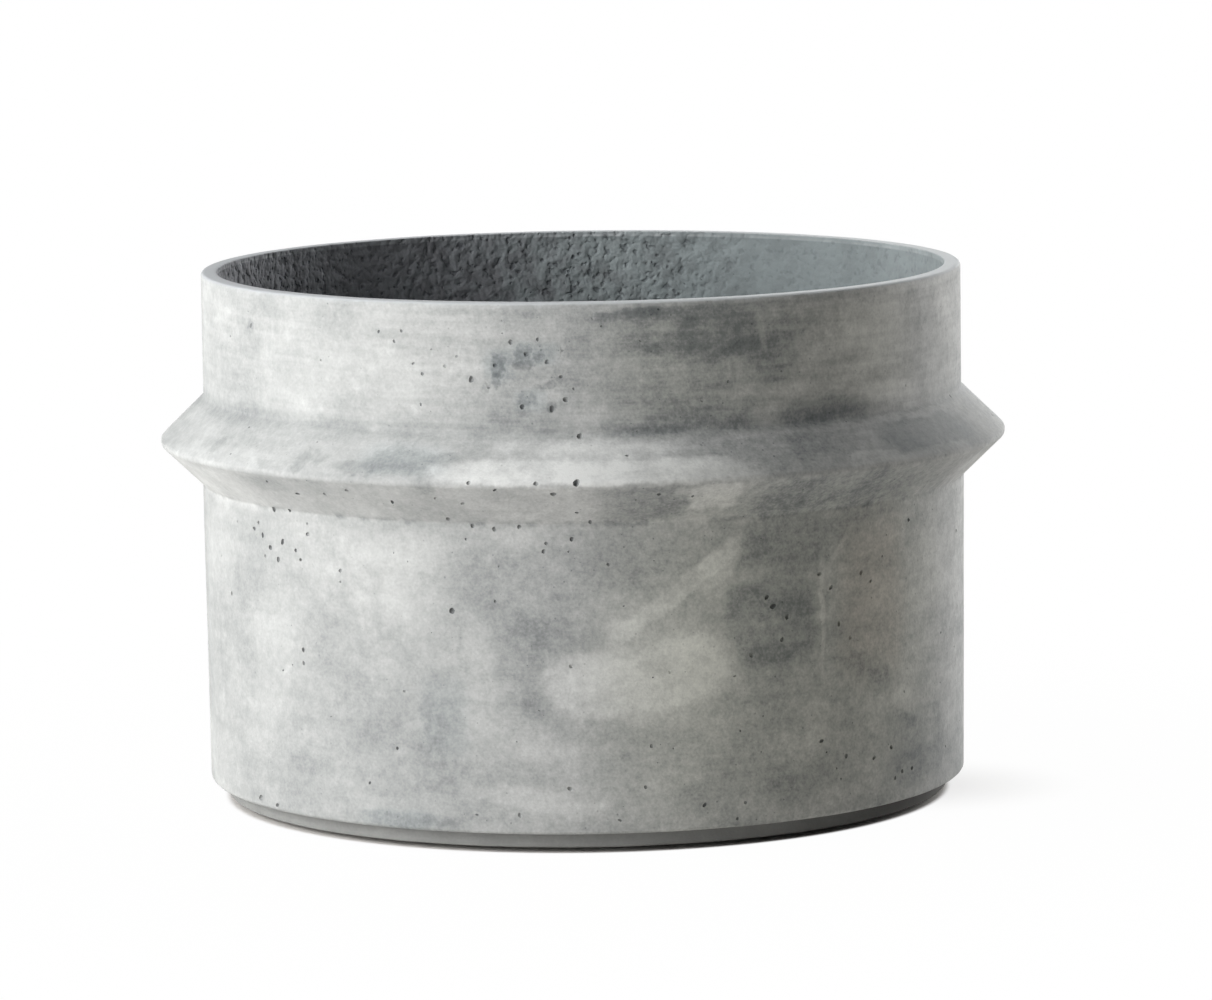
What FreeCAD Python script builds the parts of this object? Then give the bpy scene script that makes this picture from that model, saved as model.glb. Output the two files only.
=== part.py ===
import FreeCAD, Part
import math
import os

# Round concrete planter: a thin cast wall with a V-shaped flange, closed below by a poured slab.
# Sizes are in millimetres. The planter's axis is Z, and it stands on the plane Z = 0.

# Wall
height = 250.5                # floor to the top of the rim
body_diameter = 359.0         # outside of the wall
wall_thickness = 8.0
lower_wall_swell = 1.0        # the wall is this much wider in radius just under the flange
rim_arris = 1.5               # both edges of the rim are rubbed down by this much
wall_base_height = 9.5        # underside of the wall above the floor
wall_base_arris = 2.0

# Flange
flange_below_rim = 79.5       # top of the rim down to the flange's tip
flange_projection = 20.5      # wall to the rounded tip
flange_face_slope = 44.0      # degrees, each face against the horizontal
flange_tip_radius = 2.7

# Base slab, poured into the wall and keyed into a groove there
slab_thickness = 20.0
foot_arris = 1.5
key_depth = 3.0
key_height = 6.0              # at the mouth of the V-shaped groove
key_below_slab_top = 6.5      # top of the slab down to the middle of the groove

# Mortar fillet in the inner corner
seal_leg = 12.0

# Drain sleeve
drain_bore = 22.0
sleeve_wall = 2.0
sleeve_collar_projection = 3.0
sleeve_collar_height = 4.0

# Drain plug
plug_clearance = 0.3          # radial gap between the top of the stem and the bore
plug_length = 15.0            # below the head
plug_taper = 0.8              # how much the stem's radius falls from the head to the nose
plug_head_overlap = 5.0       # radius of the head beyond the outside of the sleeve
plug_head_thickness = 3.0
plug_neck_diameter = 8.0
plug_neck_height = 3.0
plug_knob_diameter = 13.0
plug_knob_height = 6.0
plug_edge_bevel = 1.0

# Rubber pads
pad_count = 4
pad_side = 40.0
pad_thickness = 2.0
pad_inset = 12.0              # edge of the slab to the outer side of a pad

# Places that several pieces share
body_radius = body_diameter / 2
inner_radius = body_radius - wall_thickness
slab_base = pad_thickness
slab_top = slab_base + slab_thickness
key_centre = slab_top - key_below_slab_top
bore_radius = drain_bore / 2
sleeve_radius = bore_radius + sleeve_wall

AXIS_POINT = FreeCAD.Vector(0, 0, 0)
AXIS_UP = FreeCAD.Vector(0, 0, 1)
FULL_TURN = 360
ARC = "arc"


def turned(corners):
    """Solid turned about the planter's axis from a closed profile of (radius, height) corners.

    A corner marked ARC isn't sharp: the outline passes it on an arc between its two neighbours.
    """
    points = [FreeCAD.Vector(corner[0], 0, corner[1]) for corner in corners]
    on_arc = [corner[-1] == ARC for corner in corners]
    edges = []
    for index, point in enumerate(points):
        before = points[index - 1]
        after = points[(index + 1) % len(points)]
        if on_arc[index]:
            edges.append(Part.Arc(before, point, after).toShape())
        elif not on_arc[index - 1]:
            edges.append(Part.LineSegment(before, point).toShape())
    face = Part.Face(Part.Wire(edges))
    return face.revolve(AXIS_POINT, AXIS_UP, FULL_TURN)


def key_corners():
    """V-shaped ridge round the slab, which fills the groove in the wall, from the bottom up."""
    return [
        (inner_radius, key_centre - key_height / 2),
        (inner_radius + key_depth, key_centre),
        (inner_radius, key_centre + key_height / 2),
    ]


def flange_corners():
    """The V flange from its lower root up: two sloping faces, joined by an arc at the tip."""
    slope = math.radians(flange_face_slope)
    tip_height = height - flange_below_rim
    tip_centre = body_radius + flange_projection - flange_tip_radius
    face_end = tip_centre + flange_tip_radius * math.sin(slope)
    face_end_rise = flange_tip_radius * math.cos(slope)
    under_flange = body_radius + lower_wall_swell
    lower_rise = face_end_rise + (face_end - under_flange) * math.tan(slope)
    upper_rise = face_end_rise + (face_end - body_radius) * math.tan(slope)
    return [
        (under_flange, tip_height - lower_rise),
        (face_end, tip_height - face_end_rise),
        (tip_centre + flange_tip_radius, tip_height, ARC),
        (face_end, tip_height + face_end_rise),
        (body_radius, tip_height + upper_rise),
    ]


def planter_wall():
    """Wall ring: drafted lower wall, V flange, rim with eased edges, groove for the slab."""
    foot = [
        (inner_radius, wall_base_height),
        (body_radius - wall_base_arris, wall_base_height),
        (body_radius, wall_base_height + wall_base_arris),
    ]
    rim = [
        (body_radius, height - rim_arris),
        (body_radius - rim_arris, height),
        (inner_radius + rim_arris, height),
        (inner_radius, height - rim_arris),
    ]
    groove = list(reversed(key_corners()))
    return turned(foot + flange_corners() + rim + groove)


def sleeve_collar():
    """Outside of the drain sleeve where its anchoring collar stands out, from the bottom up."""
    centre = (slab_base + slab_top) / 2
    low = centre - sleeve_collar_height / 2
    high = centre + sleeve_collar_height / 2
    return [
        (sleeve_radius, low),
        (sleeve_radius + sleeve_collar_projection, low),
        (sleeve_radius + sleeve_collar_projection, high),
        (sleeve_radius, high),
    ]


def base_slab():
    """Slab: foot edge below the wall, ridge in the wall's groove, hole round the drain sleeve."""
    collar = list(reversed(sleeve_collar()))
    hole = [(sleeve_radius, slab_top)] + collar + [(sleeve_radius, slab_base)]
    foot = [(inner_radius - foot_arris, slab_base), (inner_radius, slab_base + foot_arris)]
    return turned(hole + foot + key_corners() + [(inner_radius, slab_top)])


def corner_seal():
    """Fillet of mortar, struck off flat, in the corner between the slab and the wall."""
    return turned([
        (inner_radius - seal_leg, slab_top),
        (inner_radius, slab_top),
        (inner_radius, slab_top + seal_leg),
    ])


def drain_sleeve():
    """Plastic tube through the slab, held by a collar in the concrete."""
    bore = [(bore_radius, slab_top), (bore_radius, slab_base)]
    outside = [(sleeve_radius, slab_base)] + sleeve_collar() + [(sleeve_radius, slab_top)]
    return turned(bore + outside)


def drain_plug():
    """Rubber bung: tapered stem in the sleeve, head on the slab, waisted knob to pull it out by."""
    stem_radius = bore_radius - plug_clearance
    head_radius = sleeve_radius + plug_head_overlap
    head_top = slab_top + plug_head_thickness
    neck_radius = plug_neck_diameter / 2
    knob_radius = plug_knob_diameter / 2
    knob_base = head_top + plug_neck_height
    knob_top = knob_base + plug_knob_height
    nose = slab_top - plug_length
    stem = [
        (0, nose),
        (stem_radius - plug_taper, nose),
        (stem_radius, slab_top),
    ]
    head = [
        (head_radius, slab_top),
        (head_radius, head_top - plug_edge_bevel),
        (head_radius - plug_edge_bevel, head_top),
    ]
    knob = [
        (neck_radius, head_top),
        (neck_radius, knob_base),
        (knob_radius, knob_base),
        (knob_radius, knob_top - plug_edge_bevel),
        (knob_radius - plug_edge_bevel, knob_top),
        (0, knob_top),
    ]
    return turned(stem + head + knob)


def floor_pad(number):
    """One square of rubber sheet, glued under the slab: the pads stand evenly round, on the diagonals."""
    pad = Part.makeBox(pad_side, pad_side, pad_thickness)
    pad.translate(FreeCAD.Vector(inner_radius - pad_inset - pad_side, -pad_side / 2, 0))
    pitch = FULL_TURN / pad_count
    pad.rotate(AXIS_POINT, AXIS_UP, pitch * number - pitch / 2)
    return pad


pieces = {
    "planter_wall": planter_wall(),
    "base_slab": base_slab(),
    "corner_seal": corner_seal(),
    "drain_sleeve": drain_sleeve(),
    "drain_plug": drain_plug(),
}
for number in range(1, pad_count + 1):
    pieces[f"floor_pad_{number}"] = floor_pad(number)

os.makedirs("parts", exist_ok=True)
for name, shape in pieces.items():
    shape.exportStep(f"parts/{name}.step")
    print(name, "valid", shape.isValid(), "solids", len(shape.Solids), "volume", round(shape.Volume), "mm3")
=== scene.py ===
import math
import random

import bmesh
import bpy
from mathutils import Matrix, Vector


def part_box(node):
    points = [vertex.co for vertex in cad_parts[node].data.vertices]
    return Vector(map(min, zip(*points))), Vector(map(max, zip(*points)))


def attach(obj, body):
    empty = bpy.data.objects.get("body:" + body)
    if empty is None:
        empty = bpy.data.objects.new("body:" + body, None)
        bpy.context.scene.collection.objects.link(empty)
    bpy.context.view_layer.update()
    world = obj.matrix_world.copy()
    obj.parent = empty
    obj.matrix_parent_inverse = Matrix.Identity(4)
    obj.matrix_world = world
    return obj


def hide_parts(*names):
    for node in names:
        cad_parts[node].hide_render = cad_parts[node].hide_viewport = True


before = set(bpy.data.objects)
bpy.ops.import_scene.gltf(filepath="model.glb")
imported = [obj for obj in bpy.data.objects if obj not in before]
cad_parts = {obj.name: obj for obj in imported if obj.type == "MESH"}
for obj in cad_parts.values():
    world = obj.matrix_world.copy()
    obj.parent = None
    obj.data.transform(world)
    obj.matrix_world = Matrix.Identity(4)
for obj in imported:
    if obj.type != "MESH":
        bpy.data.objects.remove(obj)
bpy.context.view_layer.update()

# Planter wall
# A thin ring of fibre concrete, cast between a smooth outer mould and a rough core, with a V flange round it.
# The outside is clouded by cement skin and full of pinholes from trapped air. The inside is left rough.
MM = 0.001
wall_low, wall_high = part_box("planter_wall")
rim_height = wall_high.z
wall_foot = wall_low.z
flange_radius = wall_high.y
inner_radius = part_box("corner_seal")[1].y
wall_thickness = 8 * MM
body_radius = inner_radius + wall_thickness
lower_wall_swell = 1 * MM
flange_height = rim_height - 79.5 * MM
flange_slope = math.radians(44)
flange_tip_rounding = 2.7 * MM
flange_root_rounding = 2 * MM
rim_rounding = 1.8 * MM
inner_rim_rounding = 0.8 * MM
foot_rounding = 2 * MM
key_depth = 3 * MM
key_height = 6 * MM
slab_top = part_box("base_slab")[1].z
key_centre = slab_top - 6.5 * MM

outer_spacing = 8 * MM
rim_spacing = 1.4 * MM
core_spacing = 5 * MM
core_fine_depth = 42 * MM
wall_segments = 560

flange_apex = flange_radius - flange_tip_rounding + flange_tip_rounding / math.sin(flange_slope)
under_flange_radius = body_radius + lower_wall_swell
under_flange_height = flange_height - (flange_apex - under_flange_radius) * math.tan(flange_slope)
over_flange_height = flange_height + (flange_apex - body_radius) * math.tan(flange_slope)


def section_line(corners, closed=True):
    """Points of a section from its (radius, height, rounding, spacing) corners: an arc each, then a run."""
    arc_steps = 5
    arc_shares = [step / arc_steps for step in range(arc_steps + 1)]
    arcs = []
    for index, (radius, height, rounding, _) in enumerate(corners):
        corner = Vector((radius, height))
        if rounding == 0:
            arcs.append([corner])
            continue
        back = (Vector(corners[index - 1][:2]) - corner).normalized()
        ahead = (Vector(corners[(index + 1) % len(corners)][:2]) - corner).normalized()
        half_angle = back.angle(ahead) / 2
        centre = corner + (back + ahead).normalized() * rounding / math.sin(half_angle)
        arc_start = corner + back * rounding / math.tan(half_angle) - centre
        arc_end = corner + ahead * rounding / math.tan(half_angle) - centre
        arcs.append([centre + arc_start.slerp(arc_end, share) * rounding for share in arc_shares])
    line = []
    for index, arc in enumerate(arcs):
        line += arc
        if index == len(arcs) - 1 and not closed:
            break
        run = arcs[(index + 1) % len(arcs)][0] - arc[-1]
        spacing = corners[index][3]
        divisions = max(1, round(run.length / spacing))
        line += [arc[-1] + run * step / divisions for step in range(1, divisions)]
    return line


def section_object(name, corners, closed=True):
    """An object that holds only the edges of a section, in the plane of X and Z."""
    line = section_line(corners, closed)
    edges = [(index, index + 1) for index in range(len(line) - 1)]
    if closed:
        edges.append((len(line) - 1, 0))
    mesh = bpy.data.meshes.new(name)
    mesh.from_pydata([(point.x, 0, point.y) for point in line], edges, [])
    section = bpy.data.objects.new(name, mesh)
    bpy.context.scene.collection.objects.link(section)
    return section


def add_node(tree, kind, inputs, **settings):
    """One node of a tree. Its inputs are named or numbered, and each is a value or another node's output."""
    node = tree.nodes.new(kind)
    for name, value in settings.items():
        setattr(node, name, value)
    for place, value in inputs.items():
        if isinstance(value, bpy.types.NodeSocket):
            tree.links.new(value, node.inputs[place])
        else:
            node.inputs[place].default_value = value
    return node


def calculate(tree, operation, *values):
    """The result of a Math node."""
    return add_node(tree, "ShaderNodeMath", dict(enumerate(values)), operation=operation).outputs[0]


def add(tree, first, *others):
    """The sum of several values."""
    for value in others:
        first = calculate(tree, "ADD", first, value)
    return first


def multiply(tree, first, *others):
    """The product of several values."""
    for value in others:
        first = calculate(tree, "MULTIPLY", first, value)
    return first


def calculate_vector(tree, operation, *values):
    """The vector result of a Vector Math node."""
    node = add_node(tree, "ShaderNodeVectorMath", dict(enumerate(values)), operation=operation)
    return node.outputs["Vector"]


def scaled(tree, vector, factor):
    """A vector times one number."""
    inputs = {0: vector, "Scale": factor}
    return add_node(tree, "ShaderNodeVectorMath", inputs, operation="SCALE").outputs["Vector"]


def coordinates(tree, vector):
    """The three values of a vector, as outputs."""
    return add_node(tree, "ShaderNodeSeparateXYZ", {0: vector}).outputs


def radius_of(tree, place):
    """How far a place is from the planter's axis."""
    level = calculate_vector(tree, "MULTIPLY", place, (1, 1, 0))
    return add_node(tree, "ShaderNodeVectorMath", {0: level}, operation="LENGTH").outputs["Value"]


def fade(tree, value, start, end, low=0.0, high=1.0):
    """A smooth change from low to high while a value goes from start to end."""
    inputs = {"Value": value, "From Min": start, "From Max": end, "To Min": low, "To Max": high}
    return add_node(tree, "ShaderNodeMapRange", inputs, interpolation_type="SMOOTHSTEP").outputs["Result"]


def noise_texture(tree, place, grain, detail=2.0, roughness=0.5, seed=0.0):
    """The outputs of a noise texture. One grain is about a lump across, in metres or as a node's output."""
    linked = isinstance(grain, bpy.types.NodeSocket)
    scale = calculate(tree, "DIVIDE", 1.0, grain) if linked else 1 / grain
    inputs = {"Vector": place, "W": seed, "Scale": scale, "Detail": detail, "Roughness": roughness}
    return add_node(tree, "ShaderNodeTexNoise", inputs, noise_dimensions="4D").outputs


def noise(tree, place, grain, **settings):
    """The value of a noise texture, about 0.5."""
    return noise_texture(tree, place, grain, **settings)["Fac"]


def geometry_tree(name, sockets):
    """An empty Geometry Nodes tree with named inputs. Returns the tree and its group input node."""
    tree = bpy.data.node_groups.new(name, "GeometryNodeTree")
    tree.interface.new_socket("Geometry", in_out="INPUT", socket_type="NodeSocketGeometry")
    for socket_name, kind in sockets.items():
        tree.interface.new_socket(socket_name, in_out="INPUT", socket_type=kind)
    tree.interface.new_socket("Geometry", in_out="OUTPUT", socket_type="NodeSocketGeometry")
    return tree, tree.nodes.new("NodeGroupInput").outputs


def close_tree(tree, geometry, material):
    """Ends a tree: plain mesh, smooth faces with creases at sharp edges, and the piece's material."""
    crease_angle = math.radians(38)
    plain = add_node(tree, "GeometryNodeRealizeInstances", {"Geometry": geometry}).outputs[0]
    smooth = add_node(tree, "GeometryNodeSetShadeSmooth", {"Geometry": plain}).outputs[0]
    bend = add_node(tree, "GeometryNodeInputMeshEdgeAngle", {}).outputs["Unsigned Angle"]
    bend_and_limit = {0: bend, 1: crease_angle}
    sharp = add_node(tree, "FunctionNodeCompare", bend_and_limit, operation="GREATER_THAN").outputs[0]
    creased = add_node(
        tree,
        "GeometryNodeSetShadeSmooth",
        {"Geometry": smooth, "Selection": sharp, "Shade Smooth": False},
        domain="EDGE",
    ).outputs[0]
    clad = add_node(tree, "GeometryNodeSetMaterial", {"Geometry": creased, "Material": material}).outputs[0]
    add_node(tree, "NodeGroupOutput", {"Geometry": clad})


def core_roughness(tree, across):
    """How rough the inside is from left to right: less on the right, where it was rubbed down."""
    rough_until = 20 * MM
    rubbed_from = 100 * MM
    rubbed_share = 0.35
    return fade(tree, across, rough_until, rubbed_from, low=1.0, high=rubbed_share)


def turning_tree():
    """Turns a section about the planter's axis, then wears the faces back by noise, the core face by more."""
    tree, given = geometry_tree("Turned piece", {
        "Segments": "NodeSocketInt",
        "Wear": "NodeSocketFloat",
        "Wear grain": "NodeSocketFloat",
        "Core radius": "NodeSocketFloat",
        "Core top": "NodeSocketFloat",
        "Core wear": "NodeSocketFloat",
        "Core grain": "NodeSocketFloat",
        "Seed": "NodeSocketFloat",
        "Material": "NodeSocketMaterial",
    })
    sweep_radius = 100 * MM
    merge_distance = 0.01 * MM
    core_edge = 2 * MM
    smooth_margin = 5 * MM
    hollow_edge = 0.68
    hollow_floor = 0.32
    section = add_node(tree, "GeometryNodeMeshToCurve", {"Mesh": given["Geometry"]}).outputs[0]
    profile = add_node(tree, "GeometryNodeTransform", {
        "Geometry": section,
        "Translation": (-sweep_radius, 0, 0),
        "Rotation": (math.radians(90), 0, 0),
    }).outputs[0]
    circle = add_node(tree, "GeometryNodeCurvePrimitiveCircle", {
        "Resolution": given["Segments"],
        "Radius": sweep_radius,
    }).outputs[0]
    ring = add_node(tree, "GeometryNodeCurveToMesh", {"Curve": circle, "Profile Curve": profile}).outputs[0]
    ring_and_reach = {"Geometry": ring, "Distance": merge_distance}
    closed_ring = add_node(tree, "GeometryNodeMergeByDistance", ring_and_reach).outputs[0]
    outward = add_node(tree, "GeometryNodeFlipFaces", {"Mesh": closed_ring}).outputs[0]

    place = add_node(tree, "GeometryNodeInputPosition", {}).outputs[0]
    facing = add_node(tree, "GeometryNodeInputNormal", {}).outputs[0]
    across, _, height = coordinates(tree, place)
    core_end = add(tree, given["Core radius"], core_edge)
    on_core = fade(tree, radius_of(tree, place), core_end, given["Core radius"])
    below_top = calculate(tree, "SUBTRACT", given["Core top"], height)
    core = multiply(tree, on_core, fade(tree, below_top, 0.0, smooth_margin))
    wear_noise = noise(tree, place, given["Wear grain"], detail=2, seed=given["Seed"])
    core_noise = noise(tree, place, given["Core grain"], detail=1, seed=given["Seed"])
    wear = multiply(tree, wear_noise, given["Wear"])
    core_hollow = fade(tree, core_noise, hollow_edge, hollow_floor)
    core_depth = multiply(tree, given["Core wear"], core_roughness(tree, across))
    core_wear = multiply(tree, core_hollow, core_depth, core)
    depth = multiply(tree, add(tree, wear, core_wear), -1.0)
    inward = scaled(tree, facing, depth)
    worn = add_node(tree, "GeometryNodeSetPosition", {"Geometry": outward, "Offset": inward}).outputs[0]
    close_tree(tree, worn, given["Material"])
    return tree


def pinhole_tree():
    """Cuts pinholes at the points of another object: lumpy balls, each turned and stretched its own way. Each
    hole's faces keep a random strength of painted shade.
    """
    tree, given = geometry_tree("Pinholes", {
        "Holes": "NodeSocketObject",
        "Seed": "NodeSocketInt",
        "Material": "NodeSocketMaterial",
    })
    ball_lumps = 0.7
    lump_depth = 1.1
    least_stretch = 0.6
    most_stretch = 1.4
    palest_hole = 0.15
    darkest_hole = 1.0
    ball = add_node(tree, "GeometryNodeMeshIcoSphere", {"Radius": 0.5, "Subdivisions": 2}).outputs["Mesh"]
    place = add_node(tree, "GeometryNodeInputPosition", {}).outputs[0]
    lumps = noise(tree, place, ball_lumps, detail=1)
    swell = multiply(tree, calculate(tree, "SUBTRACT", lumps, 0.5), lump_depth)
    push = scaled(tree, place, swell)
    lumpy_ball = add_node(tree, "GeometryNodeSetPosition", {"Geometry": ball, "Offset": push}).outputs[0]
    points = add_node(tree, "GeometryNodeObjectInfo", {"Object": given["Holes"]}).outputs["Geometry"]
    turn = add_node(tree, "FunctionNodeRandomValue", {
        "Min": (0, 0, 0),
        "Max": (math.tau,) * 3,
        "Seed": given["Seed"],
    }, data_type="FLOAT_VECTOR").outputs[0]
    stretch = add_node(tree, "FunctionNodeRandomValue", {
        "Min": (least_stretch,) * 3,
        "Max": (most_stretch,) * 3,
        "Seed": given["Seed"],
    }, data_type="FLOAT_VECTOR").outputs[0]
    width = add_node(tree, "GeometryNodeInputNamedAttribute", {"Name": "width"}, data_type="FLOAT").outputs[0]
    size = scaled(tree, stretch, width)
    balls = add_node(tree, "GeometryNodeInstanceOnPoints", {
        "Points": points,
        "Instance": lumpy_ball,
        "Rotation": turn,
        "Scale": size,
    }).outputs[0]
    cutters = add_node(tree, "GeometryNodeRealizeInstances", {"Geometry": balls}).outputs[0]
    which_hole = add_node(tree, "GeometryNodeInputMeshIsland", {}).outputs["Island Index"]
    hole_shade = add_node(tree, "FunctionNodeRandomValue", {
        "Min": palest_hole,
        "Max": darkest_hole,
        "ID": which_hole,
        "Seed": given["Seed"],
    }, data_type="FLOAT").outputs[1]
    marked_cutters = add_node(
        tree,
        "GeometryNodeStoreNamedAttribute",
        {"Geometry": cutters, "Name": "pinhole", "Value": hole_shade},
        data_type="FLOAT",
        domain="FACE",
    ).outputs[0]
    cut = add_node(
        tree,
        "GeometryNodeMeshBoolean",
        {"Mesh 1": given["Geometry"], "Mesh 2": marked_cutters},
        operation="DIFFERENCE",
        solver="MANIFOLD",
    ).outputs["Mesh"]
    close_tree(tree, cut, given["Material"])
    return tree


def dress(piece, tree, values):
    """Adds a tree to a piece and sets the tree's named inputs."""
    modifier = piece.modifiers.new(tree.name, "NODES")
    modifier.node_group = tree
    for item in tree.interface.items_tree:
        if item.in_out == "INPUT" and item.name in values:
            modifier[item.identifier] = values[item.name]


def settle(piece):
    """Turns a piece and its modifiers into one plain mesh."""
    graph = bpy.context.evaluated_depsgraph_get()
    mesh = bpy.data.meshes.new_from_object(piece.evaluated_get(graph), depsgraph=graph)
    mesh.name = piece.name
    piece.modifiers.clear()
    piece.data = mesh


def material_tree(name):
    """A new material. Returns it with its tree, its surface shader and the place in object coordinates."""
    material = bpy.data.materials.new(name)
    material.use_nodes = True
    tree = material.node_tree
    place = add_node(tree, "ShaderNodeTexCoord", {}).outputs["Object"]
    return material, tree, tree.nodes["Principled BSDF"], place


def add_relief(tree, shader, texture, strength, depth):
    """Gives a shader the fine relief of a texture's value, with its depth in metres."""
    inputs = {"Strength": strength, "Distance": depth, "Height": texture}
    bump = add_node(tree, "ShaderNodeBump", inputs)
    tree.links.new(bump.outputs[0], shader.inputs["Normal"])
    return bump.outputs[0]


def stain_group(name, rounded):
    """One stain, round or squarish. The sheet's third value carries the tone on from stain to stain."""
    tree = bpy.data.node_groups.new(name, "ShaderNodeTree")
    for socket_name, kind in {
        "Sheet": "NodeSocketVector",
        "Centre": "NodeSocketVector",
        "Half size": "NodeSocketVector",
        "Turn": "NodeSocketVector",
        "Softness": "NodeSocketFloat",
        "Tone": "NodeSocketFloat",
    }.items():
        tree.interface.new_socket(socket_name, in_out="INPUT", socket_type=kind)
    tree.interface.new_socket("Sheet", in_out="OUTPUT", socket_type="NodeSocketVector")
    given = tree.nodes.new("NodeGroupInput").outputs
    local = add_node(tree, "ShaderNodeMapping", {
        "Vector": given["Sheet"],
        "Location": given["Centre"],
        "Rotation": given["Turn"],
        "Scale": given["Half size"],
    }, vector_type="TEXTURE").outputs[0]
    if rounded:
        measure = add_node(tree, "ShaderNodeVectorMath", {0: local, 1: local}, operation="DOT_PRODUCT")
    else:
        squares = calculate_vector(tree, "MULTIPLY", local, local)
        measure = add_node(tree, "ShaderNodeVectorMath", {0: squares}, operation="LENGTH")
    reach = measure.outputs["Value"]
    outer = add(tree, 1.0, given["Softness"])
    inner = calculate(tree, "SUBTRACT", 1.0, given["Softness"])
    change = multiply(tree, fade(tree, reach, outer, inner), given["Tone"])
    step = add_node(tree, "ShaderNodeCombineXYZ", {2: change}).outputs[0]
    add_node(tree, "NodeGroupOutput", {"Sheet": calculate_vector(tree, "ADD", given["Sheet"], step)})
    return tree


# Stains of the wall, with painted light and shade among them: angle from the front in degrees, height, half
# width and half height in millimetres, turn in degrees, softness of the edge, and tone, where darker is below
# 0. A tint's
# tone is its share. Painted light: the paler far left and far right of the wall and flange, a paler upper
# wall on the right, and a highlight along the flange's edge. Painted shade: thin dark bands under the rim,
# and a darker lower face of the flange on the right.
upper_wall_stains_and_painted_light = [
    (15, 236, 34, 12, 0, 0.6, -0.13), (20, 237, 18, 11, 0, 0.6, -0.07), (29, 226, 14, 11, 0, 0.8, -0.06),
    (11, 237, 3, 5, 0, 0.9, 0.10), (27, 235, 2, 7, 8, 0.9, 0.10), (47, 234, 22, 12, -4, 0.7, 0.12),
    (38, 236, 3, 8, 0, 0.9, 0.09), (58, 228, 9, 19, 0, 0.5, -0.08), (68, 220, 20, 26, 0, 0.9, 0.06),
    (17, 196.5, 24, 5, 0, 0.5, -0.17), (38, 196.5, 25, 5, 0, 0.6, -0.16), (27, 196, 6, 4, 0, 0.8, 0.05),
    (53, 200, 19, 5.5, -6, 0.7, 0.17), (33, 208, 28, 3.5, 0, 0.8, 0.07), (14, 208, 26, 6, 0, 0.9, -0.05),
    (-36, 220, 60, 24, 0, 0.9, 0.06), (-62, 220, 20, 16, 0, 0.8, -0.05), (64, 248.5, 40, 3, 0, 0.7, 0.18),
    (-2, 216, 7, 1.8, -8, 0.8, -0.09), (-10, 199, 12, 3, 0, 0.8, -0.07), (4, 200, 15, 4, 0, 0.9, 0.07),
    (0, 239, 10, 8, 0, 0.8, -0.05), (-72, 215, 36, 40, 0, 0.9, 0.05), (62, 218, 62, 34, 0, 0.8, 0.17),
    (23, 228, 26, 20, 0, 0.6, -0.08), (8, 237, 12, 9, 0, 0.7, -0.06), (29, 238, 12, 10, 0, 0.7, -0.05),
    (3, 243.5, 6, 3, 0, 0.6, -0.08), (-0.7, 231, 5, 6, 0, 0.8, -0.05), (-14, 246.5, 26, 2, 0, 0.9, -0.06),
    (8, 244.5, 20, 2.5, 0, 0.8, -0.06),
]
flange_stains_and_painted_light = [
    (-10, 181, 160, 10, 0, 0.6, 0.06), (3, 180, 30, 9, 0, 0.7, 0.12), (65, 181, 60, 10, 0, 0.6, 0.06),
    (25, 185, 12, 5, 0, 0.8, 0.08), (-68, 160, 48, 10, 0, 0.8, 0.17), (-30, 160, 22, 9, 0, 0.8, 0.06),
    (0, 161, 20, 9, 0, 0.8, 0.06), (36, 160, 36, 9, 0, 0.8, -0.06), (73, 160, 24, 10, 0, 0.8, 0.16),
    (2, 176, 64, 5, 0, 0.5, 0.28), (1, 185, 40, 5, 0, 0.9, 0.10), (16, 185, 24, 5, 0, 0.7, -0.05),
    (29, 180, 29, 7, 0, 0.5, -0.11), (57, 181.5, 37, 5.5, 0, 0.3, -0.18), (42, 174.5, 15, 3.5, 0, 0.5, 0.15),
    (51, 174, 14, 2, 0, 0.7, 0.13), (56, 189, 42, 1.2, 0, 0.8, 0.15), (-57, 175, 40, 3.5, 0, 0.8, 0.07),
    (17.7, 163.5, 11.5, 6.5, 0, 0.4, 0.22), (7.5, 160.5, 18, 8, 0, 0.6, -0.12),
    (39, 160, 50, 9, 0, 0.8, -0.12), (-10, 161, 30, 8, 0, 0.9, 0.04), (-50, 164.5, 16, 3.5, 0, 0.7, -0.08),
    (78, 181, 24, 10, 0, 0.7, 0.08),
]
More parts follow.
